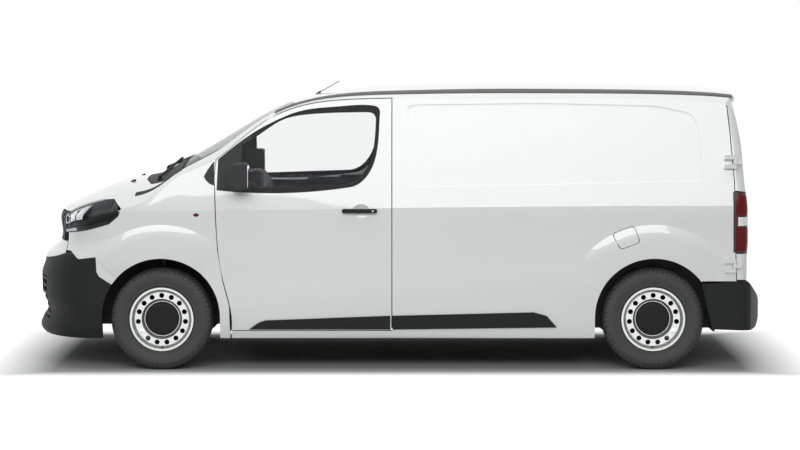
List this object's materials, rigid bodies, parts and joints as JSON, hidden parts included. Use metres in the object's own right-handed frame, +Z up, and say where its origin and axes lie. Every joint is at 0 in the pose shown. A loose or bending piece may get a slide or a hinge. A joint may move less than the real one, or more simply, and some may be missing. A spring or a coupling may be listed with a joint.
{
  "type": "panel van",
  "caption": "Mid-size white panel van with hinged cab doors, hood and rear doors, steered front wheels and a hollow cab and load space.",
  "frame": {"origin": "on the floor, under the middle of the van's length and width", "axes": "+X from nose to tail, +Y to the right-hand side of the van, +Z up"},
  "size_m": [4.9784, 2.204, 1.9093],
  "materials": {
    "body_paint": "white gloss enamel",
    "black_plastic": "grained black moulding",
    "grey_moulding": "satin grey strip",
    "clear_glass": "lightly tinted glass",
    "lamp_clear": "clear lens over a chrome bowl",
    "lamp_red": "red lens with a clear band",
    "tyre_rubber": "road tyre rubber",
    "wheel_silver": "silver enamel on pressed steel",
    "cab_plastic": "dark grained cab moulding",
    "seat_cloth": "woven seat cloth",
    "chassis_black": "black underbody coating",
    "floor_grey": "grey primed floor",
    "engine_metal": "cast engine block",
    "exhaust_steel": "dull stainless pipe"
  },
  "bodies": {
    "root": {"roof_panel": "body_paint", "windscreen_frame": "body_paint", "windscreen": "clear_glass", "fenders": "body_paint", "body_side_left": "body_paint", "body_side_right": "body_paint", "sliding_door": "body_paint", "tail_lamps": "lamp_red", "front_bumper": "black_plastic", "front_fascia": "body_paint", "grille": "black_plastic", "headlamps": "lamp_clear", "rear_bumper": "black_plastic", "roof_trim": "grey_moulding", "side_trims": "black_plastic", "scuttle": "black_plastic", "dashboard": "cab_plastic", "seats": "seat_cloth", "bulkhead": "floor_grey", "floor_pan": "floor_grey", "arch_liners": "chassis_black", "engine": "engine_metal", "front_subframe": "chassis_black", "rear_axle": "chassis_black", "fuel_tank": "black_plastic", "exhaust": "exhaust_steel", "wipers": "black_plastic", "aerial": "black_plastic"},
    "hood": {"hood": "body_paint"},
    "door_left": {"door_left": "body_paint", "door_glass_left": "clear_glass", "door_trim_left": "black_plastic"},
    "door_right": {"door_right": "body_paint", "door_glass_right": "clear_glass", "door_trim_right": "black_plastic"},
    "rear_door_left": {"rear_door_left": "body_paint"},
    "rear_door_right": {"rear_door_right": "body_paint"},
    "fuel_flap": {"fuel_flap": "body_paint"},
    "steering_wheel": {"steering_wheel": "cab_plastic"},
    "knuckle_left": {"knuckle_left": "chassis_black"},
    "knuckle_right": {"knuckle_right": "chassis_black"},
    "wheel_front_left": {"tyre_front_left": "tyre_rubber", "rim_front_left": "wheel_silver"},
    "wheel_rear_left": {"tyre_rear_left": "tyre_rubber", "rim_rear_left": "wheel_silver"},
    "wheel_front_right": {"tyre_front_right": "tyre_rubber", "rim_front_right": "wheel_silver"},
    "wheel_rear_right": {"tyre_rear_right": "tyre_rubber", "rim_rear_right": "wheel_silver"}
  },
  "joints": [
    {"name": "hood_hinge", "type": "hinge", "parent": "root", "child": "hood", "pos_m": [-1.5716, 0, 1.312], "axis": [0, 1, 0], "range_deg": [0, 50]},
    {"name": "door_left_hinge", "type": "hinge", "parent": "root", "child": "door_left", "pos_m": [-1.228, -0.958, 1], "axis": [0, 0, -1], "range_deg": [0, 68]},
    {"name": "door_right_hinge", "type": "hinge", "parent": "root", "child": "door_right", "pos_m": [-1.228, 0.958, 1], "axis": [0, 0, 1], "range_deg": [0, 68]},
    {"name": "rear_door_left_hinge", "type": "hinge", "parent": "root", "child": "rear_door_left", "pos_m": [2.225, -0.95, 0.7], "axis": [0, -0.04, -0.9992], "range_deg": [0, 180]},
    {"name": "rear_door_right_hinge", "type": "hinge", "parent": "root", "child": "rear_door_right", "pos_m": [2.225, 0.95, 0.7], "axis": [0, -0.04, 0.9992], "range_deg": [0, 180]},
    {"name": "fuel_flap_hinge", "type": "hinge", "parent": "root", "child": "fuel_flap", "pos_m": [1.41, -0.96, 0.86], "axis": [0, 0, -1], "range_deg": [0, 90]},
    {"name": "steer_left", "type": "hinge", "parent": "root", "child": "knuckle_left", "pos_m": [-1.585, -0.663, 0.338], "axis": [0, 0, 1], "range_deg": [-30, 30]},
    {"name": "steer_right", "type": "hinge", "parent": "root", "child": "knuckle_right", "pos_m": [-1.585, 0.663, 0.338], "axis": [0, 0, 1], "range_deg": [-30, 30]},
    {"name": "steering_column", "type": "hinge", "parent": "root", "child": "steering_wheel", "pos_m": [-0.7826, -0.44, 1.04], "axis": [0.8192, 0, 0.5736], "range_deg": [-450, 450]},
    {"name": "front_wheel_left", "type": "hinge", "parent": "knuckle_left", "child": "wheel_front_left", "pos_m": [-1.585, -0.813, 0.338], "axis": [0, 1, 0], "continuous": true},
    {"name": "rear_wheel_left", "type": "hinge", "parent": "root", "child": "wheel_rear_left", "pos_m": [1.69, -0.813, 0.338], "axis": [0, 1, 0], "continuous": true},
    {"name": "front_wheel_right", "type": "hinge", "parent": "knuckle_right", "child": "wheel_front_right", "pos_m": [-1.585, 0.813, 0.338], "axis": [0, 1, 0], "continuous": true},
    {"name": "rear_wheel_right", "type": "hinge", "parent": "root", "child": "wheel_rear_right", "pos_m": [1.69, 0.813, 0.338], "axis": [0, 1, 0], "continuous": true}
  ],
  "couplings": [
    {"joint": "steer_right", "follows": "steer_left", "ratio": 1},
    {"joint": "steering_column", "follows": "steer_left", "ratio": 15}
  ]
}
